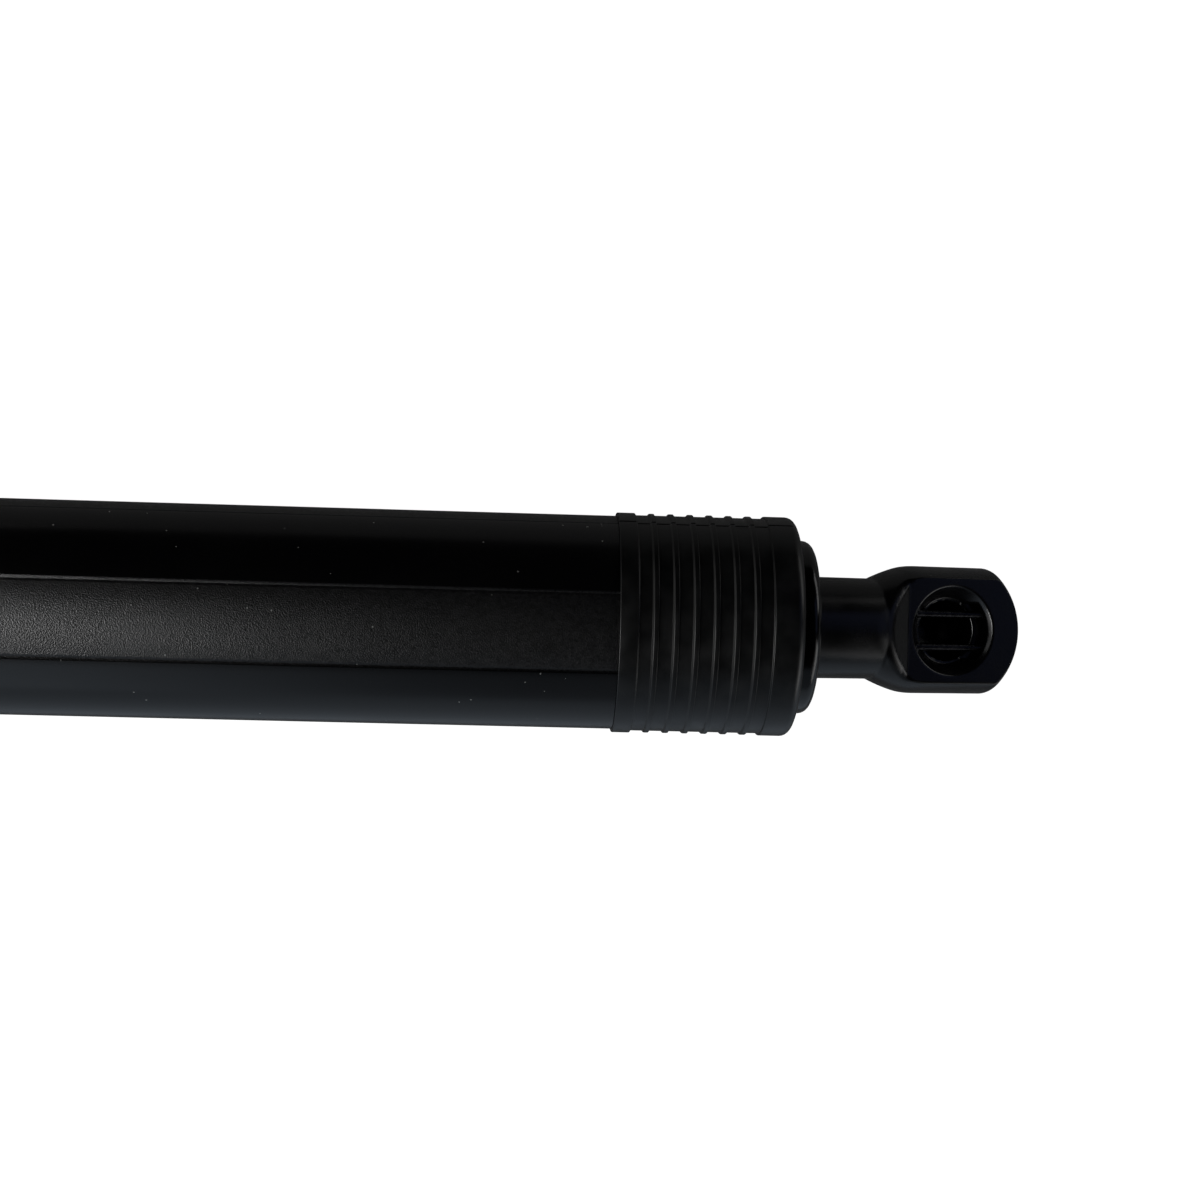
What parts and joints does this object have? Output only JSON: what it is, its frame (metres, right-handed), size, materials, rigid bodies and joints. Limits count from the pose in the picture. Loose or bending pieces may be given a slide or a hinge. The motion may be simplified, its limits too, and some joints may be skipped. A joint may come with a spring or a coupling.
{
  "type": "power liftgate strut",
  "caption": "Telescoping power strut for a car's liftgate, with a ribbed collar, a ball socket at each end and a motor, planetary gearbox, spindle and spring inside.",
  "frame": {"origin": "ball centre of the body-end ball socket", "axes": "+X along the strut towards the lid end, +Z out of the body-end ball pocket's mouth"},
  "size_m": [0.4773, 0.0369, 0.0358],
  "materials": {
    "cover_plastic": "satin moulded black plastic with fine-grained strips",
    "collar_plastic": "satin moulded black plastic",
    "plug_gloss": "glossy moulded black plastic",
    "socket_plastic": "satin glass-filled black nylon",
    "cap_plastic": "moulded black plastic",
    "clip_wire": "drawn spring wire",
    "gland_rubber": "moulded black rubber",
    "housing_paint": "black coated steel tube",
    "motor_steel": "zinc-plated sheet steel",
    "ground_steel": "ground and turned steel",
    "planet_steel": "sintered steel",
    "tube_steel": "drawn steel tube",
    "spring_steel": "phosphated spring steel",
    "core_steel": "stacked steel sheet",
    "copper": "enamelled copper wire",
    "magnet_ferrite": "pressed ferrite",
    "brush_carbon": "pressed carbon",
    "board_green": "solder-masked glass board",
    "inner_plastic": "natural moulded acetal",
    "inner_moulding": "moulded dark plastic"
  },
  "bodies": {
    "motor_side": {"lower_ball_socket": "socket_plastic", "lower_end_cap": "cap_plastic", "cable_gland": "gland_rubber", "housing_tube": "housing_paint", "sensor_board": "board_green", "motor_can": "motor_steel", "motor_end_bell": "inner_plastic", "motor_brushes": "brush_carbon", "motor_magnets": "magnet_ferrite", "ring_gear_sleeve": "inner_moulding", "brake_housing": "inner_moulding", "spindle_support": "inner_moulding", "bearing_outer_ring": "ground_steel", "guide_tube": "tube_steel", "guide_bush": "inner_plastic", "lift_spring": "spring_steel"},
    "lower_clip_body": {"lower_clip": "clip_wire"},
    "rotor": {"motor_shaft": "ground_steel", "armature_core": "core_steel", "armature_windings": "copper", "commutator": "copper", "sensor_magnet": "magnet_ferrite", "first_sun_gear": "ground_steel"},
    "first_stage": {"first_carrier": "ground_steel", "second_sun_gear": "ground_steel"},
    "spindle_body": {"second_carrier": "ground_steel", "spindle": "ground_steel", "brake_rotor": "ground_steel", "bearing_inner_ring": "ground_steel", "spindle_tip_bush": "inner_plastic"},
    "rod_side": {"spindle_nut": "inner_plastic", "push_tube": "tube_steel", "lid_end_plug": "plug_gloss", "ribbed_collar": "collar_plastic", "cover_tube": "cover_plastic", "cover_guide_ring": "inner_plastic", "upper_ball_socket": "socket_plastic"},
    "upper_clip_body": {"upper_clip": "clip_wire"},
    "planet_first_1_body": {"planet_first_1": "planet_steel"},
    "planet_first_2_body": {"planet_first_2": "planet_steel"},
    "planet_first_3_body": {"planet_first_3": "planet_steel"},
    "planet_second_1_body": {"planet_second_1": "planet_steel"},
    "planet_second_2_body": {"planet_second_2": "planet_steel"},
    "planet_second_3_body": {"planet_second_3": "planet_steel"}
  },
  "joints": [
    {"name": "rotor_spin", "type": "hinge", "parent": "motor_side", "child": "rotor", "pos_m": [0, 0, 0], "axis": [-1, 0, 0], "range_deg": [0, 72900]},
    {"name": "first_carrier_spin", "type": "hinge", "parent": "motor_side", "child": "first_stage", "pos_m": [0, 0, 0], "axis": [-1, 0, 0], "range_deg": [0, 16200]},
    {"name": "spindle_spin", "type": "hinge", "parent": "motor_side", "child": "spindle_body", "pos_m": [0, 0, 0], "axis": [-1, 0, 0], "range_deg": [0, 3600]},
    {"name": "strut_slide", "type": "slide", "parent": "motor_side", "child": "rod_side", "axis": [1, 0, 0], "range_m": [0, 0.2], "deforming": ["lift_spring"]},
    {"name": "lower_clip_pull", "type": "slide", "parent": "motor_side", "child": "lower_clip_body", "axis": [-1, 0, 0], "range_m": [0, 0.004]},
    {"name": "upper_clip_pull", "type": "slide", "parent": "rod_side", "child": "upper_clip_body", "axis": [0.9659, 0, -0.2588], "range_m": [0, 0.004]},
    {"name": "planet_first_1_spin", "type": "hinge", "parent": "first_stage", "child": "planet_first_1_body", "pos_m": [0.1315, 0.00675, 0], "axis": [-1, 0, 0], "range_deg": [-45360, 0]},
    {"name": "planet_first_2_spin", "type": "hinge", "parent": "first_stage", "child": "planet_first_2_body", "pos_m": [0.1315, -0.00337, 0.00585], "axis": [-1, 0, 0], "range_deg": [-45360, 0]},
    {"name": "planet_first_3_spin", "type": "hinge", "parent": "first_stage", "child": "planet_first_3_body", "pos_m": [0.1315, -0.00337, -0.00585], "axis": [-1, 0, 0], "range_deg": [-45360, 0]},
    {"name": "planet_second_1_spin", "type": "hinge", "parent": "spindle_body", "child": "planet_second_1_body", "pos_m": [0.1423, 0.00675, 0], "axis": [-1, 0, 0], "range_deg": [-10080, 0]},
    {"name": "planet_second_2_spin", "type": "hinge", "parent": "spindle_body", "child": "planet_second_2_body", "pos_m": [0.1423, -0.00337, 0.00585], "axis": [-1, 0, 0], "range_deg": [-10080, 0]},
    {"name": "planet_second_3_spin", "type": "hinge", "parent": "spindle_body", "child": "planet_second_3_body", "pos_m": [0.1423, -0.00337, -0.00585], "axis": [-1, 0, 0], "range_deg": [-10080, 0]}
  ],
  "couplings": [
    {"joint": "spindle_spin", "follows": "strut_slide", "rad_per_m": 314.16},
    {"joint": "first_carrier_spin", "follows": "strut_slide", "rad_per_m": 1413.7},
    {"joint": "rotor_spin", "follows": "strut_slide", "rad_per_m": 6361.7},
    {"joint": "planet_first_1_spin", "follows": "strut_slide", "rad_per_m": -3958.4},
    {"joint": "planet_first_2_spin", "follows": "strut_slide", "rad_per_m": -3958.4},
    {"joint": "planet_first_3_spin", "follows": "strut_slide", "rad_per_m": -3958.4},
    {"joint": "planet_second_1_spin", "follows": "strut_slide", "rad_per_m": -879.65},
    {"joint": "planet_second_2_spin", "follows": "strut_slide", "rad_per_m": -879.65},
    {"joint": "planet_second_3_spin", "follows": "strut_slide", "rad_per_m": -879.65}
  ]
}
